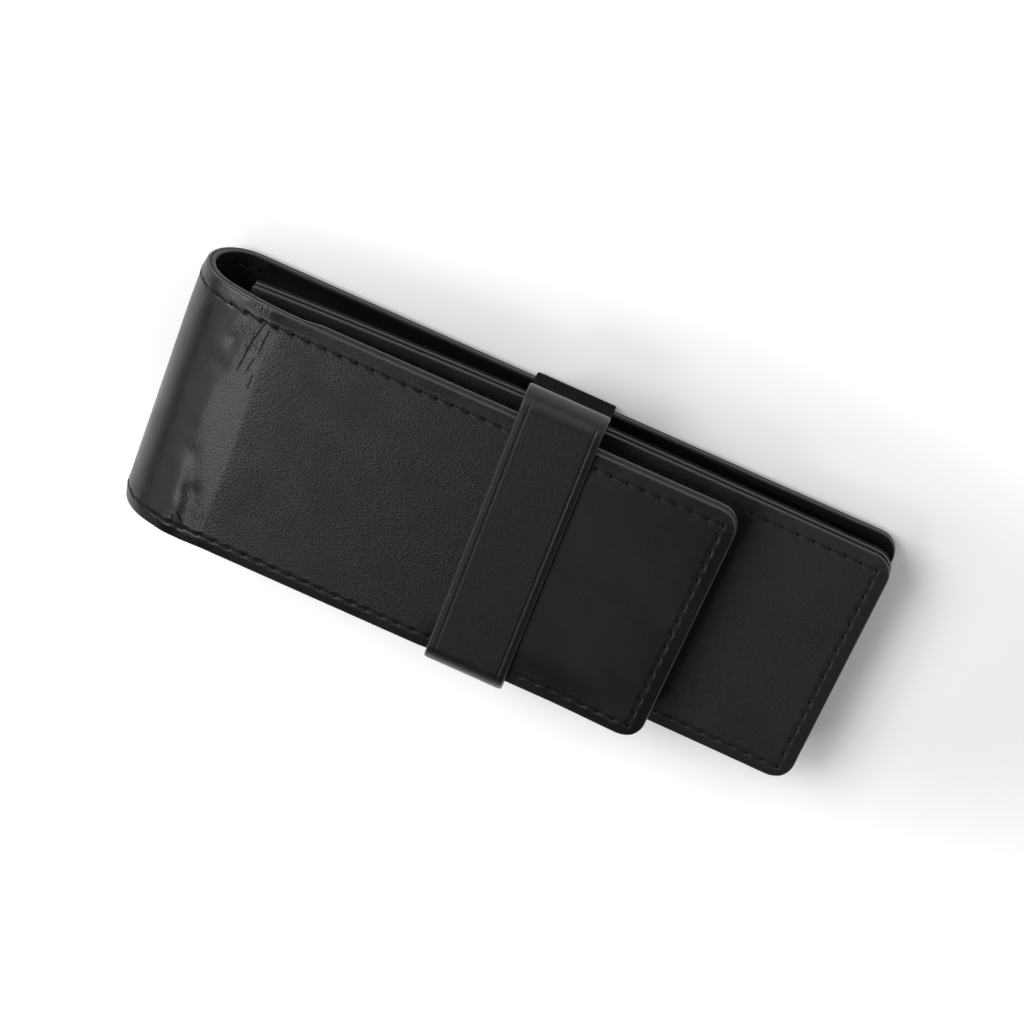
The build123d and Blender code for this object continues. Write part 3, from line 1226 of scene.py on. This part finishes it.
def make_band():
    """A loop swept from under the case round its corners."""
    corners = [(Vector((0, y * MM, z * MM)), r * MM) for y, z, r in BAND_CORNERS]
    low = (-BAND_WIDTH / 2, -0.5 * MM, 0)
    high = (BAND_WIDTH / 2, 0.5 * MM, 0)
    piece = start_sheet("band_loop", low, high, 1, 38)
    choose(piece, "VERT", lambda p: p.y > 0.4 * MM)
    here = Vector((0, 0.5 * MM, 0))
    start = Vector((0, -0.5 * MM, 0))
    for number, (corner, radius) in enumerate(corners):
        before = corners[number - 1][0] if number else start
        after = corners[number + 1][0] if number + 1 < len(corners) else start
        into, out = (corner - before).normalized(), (after - corner).normalized()
        way = 1 if into.cross(out).x > 0 else -1
        bend = into.angle(out)
        entry = corner - into * radius * tan(bend / 2)
        pull(entry - here, max(1, round((entry - here).length / (2 * MM))))
        centre = entry + Vector((0, -into.z, into.y)) * radius * way
        turn((0, centre.y, centre.z), bend, (-way, 0, 0), max(4, round(bend / radians(7))))
        here = corner + out * radius * tan(bend / 2)
    pull(start - here, round((start - here).length / (2 * MM)))
    choose_all()
    bpy.ops.mesh.remove_doubles(threshold=1e-5)
    face_outwards()
    done()
    face_up(piece, (0, 0, -1))

    def skew(point):
        margin = max(0.0, abs(point.x) - (BAND_WIDTH / 2 - BAND_MARGIN)) / BAND_MARGIN
        x = point.x / cos(BAND_SKEW) - point.y * tan(BAND_SKEW)
        fall = margin * margin * smoothstep(20 * MM, 26 * MM, point.z)
        fall *= BAND_FALL if point.x > 0 else BAND_FALL / 4
        return Vector((BAND_X + x, point.y, point.z - fall))

    shape(piece, skew)
    give_thickness(piece, BAND_LEATHER, edge=0.45 * MM, segments=4)
    dress(piece, band_leather)
    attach(piece, "band")
    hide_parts("band")


make_band()


# Floor, light and camera
FLOOR_GLOW = 0.12
FLOOR_GLOW_FAR = 0.34
GLOW_MIDDLE = (35 * MM, 8 * MM, 0)
FLOOR_MIRRORED = 0.5
WALLS = 1.2
# Lamps: name, place, size, power and tint
LAMPS = [
    ("window", (-0.757, 0.353, 0.996), 0.8, 12.5, (1, 1, 1)),
    ("side", (-0.757, -0.353, 0.996), 0.8, 2.8, (1, 1, 1)),
    ("gleam", (-0.335, -0.535, 1.137), 0.35, 1.62, (1, 0.965, 1)),
    ("right_fill", (0.919, 0, 0.919), 0.9, 2.6, (1, 1, 1)),
    ("back_fill", (0, 0.996, 0.836), 0.9, 3.6, (1, 1, 1)),
]


def make_floor():
    """A white floor. Its glow, for the camera alone, grows away from the case and its shadow,
    and a second one is only for what the leather mirrors."""
    bpy.ops.mesh.primitive_plane_add(size=6, location=(0, 0, 0))
    floor = bpy.context.object
    floor.name = "floor"
    material, tree, shader = new_material("floor_white")
    feed(tree, shader, "Base Color", (0.86, 0.86, 0.86, 1))
    feed(tree, shader, "Roughness", 0.8)
    feed(tree, shader, "Specular IOR Level", 0.1)
    path = put(tree, "LightPath").outputs
    aside = vector(tree, "SUBTRACT", own_place(tree), GLOW_MIDDLE)
    away = vector(tree, "MULTIPLY", aside, (0.42, 1.0, 0))
    reach = put(tree, "VectorMath", {0: away}, operation="LENGTH").outputs["Value"]
    glow_there = fade(tree, reach, 36 * MM, 70 * MM, FLOOR_GLOW, FLOOR_GLOW_FAR)
    lift = work(
        tree, "ADD", times(tree, path["Is Camera Ray"], glow_there),
        times(tree, path["Is Glossy Ray"], FLOOR_MIRRORED),
    )
    glow = put(tree, "Emission", {"Color": (1, 1, 1, 1), "Strength": lift})
    both = put(tree, "AddShader", {0: shader.outputs[0], 1: glow.outputs[0]})
    feed(tree, tree.nodes["Material Output"], "Surface", both.outputs[0])
    floor.data.materials.append(material)


def add_lamp(name, place, size, power, colour):
    """A square soft lamp that looks at the case."""
    bpy.ops.object.light_add(type="AREA", location=place)
    lamp = bpy.context.object
    lamp.name = name
    lamp.data.size = size
    lamp.data.energy = power
    lamp.data.color = colour
    lamp.rotation_euler = Vector(place).to_track_quat("Z", "Y").to_euler()


def set_world():
    """A dark room with white walls, which the case stands before and mirrors low down."""
    world = bpy.data.worlds.new("room")
    world.use_nodes = True
    bpy.context.scene.world = world
    tree = world.node_tree
    path = put(tree, "LightPath").outputs
    level = split(tree, put(tree, "TexCoord").outputs["Generated"])["Z"]
    wall = times(tree, path["Is Glossy Ray"], fade(tree, level, 0.26, 0.04, 0.0, WALLS))
    seen = work(tree, "MAXIMUM", path["Is Camera Ray"], wall)
    feed(tree, tree.nodes["Background"], "Strength", seen)
    feed(tree, tree.nodes["Background"], "Color", (1, 1, 1, 1))


def set_camera():
    """The photograph's view: from 29 degrees off straight above, turned 24 degrees."""
    tilt, spin, roll = radians(29.0), radians(23.97), radians(0.43)
    distance, aside, above = 0.778, 2.15 * MM, 1.80 * MM
    right = Vector((cos(spin), sin(spin) * cos(tilt), -sin(spin) * sin(tilt)))
    up = Vector((-sin(spin), cos(spin) * cos(tilt), -cos(spin) * sin(tilt)))
    back = Vector((0, sin(tilt), cos(tilt)))
    twist = Matrix.Rotation(roll, 3, back.cross(Vector((1, 0, 0))).normalized())
    right, up, back = twist @ right, twist @ up, twist @ back
    place = Vector((0, 0, 12 * MM)) + back * distance + right * aside + up * above
    camera = bpy.data.objects.new("camera", bpy.data.cameras.new("camera"))
    bpy.context.scene.collection.objects.link(camera)
    camera.data.sensor_width = 36
    camera.data.lens = 122.8
    camera.data.clip_start, camera.data.clip_end = 0.01, 20
    facing = Matrix((right, up, back)).transposed().to_4x4()
    camera.matrix_world = Matrix.Translation(place) @ facing
    bpy.context.scene.camera = camera


make_floor()
for lamp_settings in LAMPS:
    add_lamp(*lamp_settings)
set_world()
set_camera()
bpy.context.scene.view_settings.view_transform = "Standard"

bpy.context.view_layer.update()
